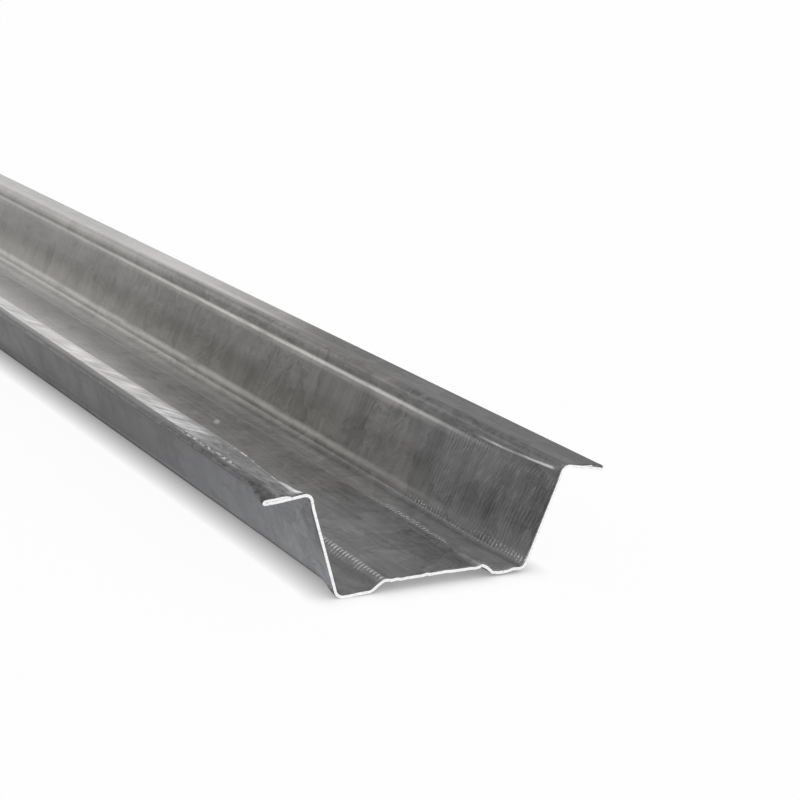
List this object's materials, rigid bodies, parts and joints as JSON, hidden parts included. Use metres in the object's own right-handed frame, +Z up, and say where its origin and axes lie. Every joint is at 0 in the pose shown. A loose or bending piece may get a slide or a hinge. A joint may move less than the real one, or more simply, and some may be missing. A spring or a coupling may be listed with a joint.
{
  "type": "hat channel",
  "caption": "Roll-formed galvanised sheet steel furring channel with a hat section, stepped web, leaning walls and hemmed flanges, for carrying board linings on walls and ceilings.",
  "frame": {"origin": "middle of the footprint, on the floor: halfway along the length and halfway between the flanges, at the underside of the web's feet", "axes": "+Y along the length, away from the cut end that the picture shows; +Z up out of the open side of the hat; +X across to the right flange"},
  "size_m": [0.0666, 2.438, 0.0196],
  "materials": {
    "galvanised_sheet": "hot-dip galvanised sheet, dull grey with faint spangle, knurled along its bends, bright where it is cut"
  },
  "bodies": {
    "root": {"hat_channel": "galvanised_sheet"}
  },
  "joints": []
}
